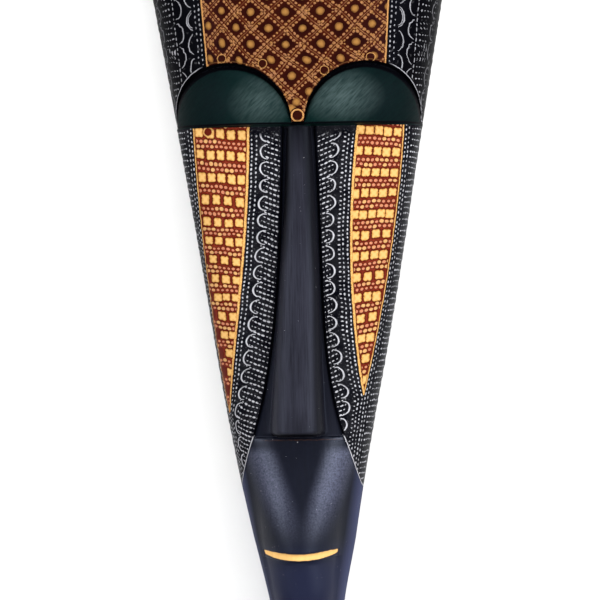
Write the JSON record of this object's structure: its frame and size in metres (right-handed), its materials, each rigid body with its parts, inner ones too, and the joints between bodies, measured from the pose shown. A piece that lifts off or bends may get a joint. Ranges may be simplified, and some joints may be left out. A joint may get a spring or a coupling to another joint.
{
  "type": "carved wooden mask",
  "caption": "Long carved face mask with a rounded brow, half-round closed eyelids, a long flat nose and a narrow muzzle, hollowed out behind and lying on its flat rim.",
  "frame": {"origin": "under the middle of the mask, in the plane of its rim", "axes": "+Y towards the crown, +X towards the side that the camera sees on its right, +Z out of the face"},
  "size_m": [0.1764, 0.5, 0.074],
  "materials": {
    "painted_wood": "black paint under a wax-drawn pattern in white, yellow and maroon, semi-gloss"
  },
  "bodies": {
    "root": {"mask": "painted_wood"}
  },
  "joints": []
}
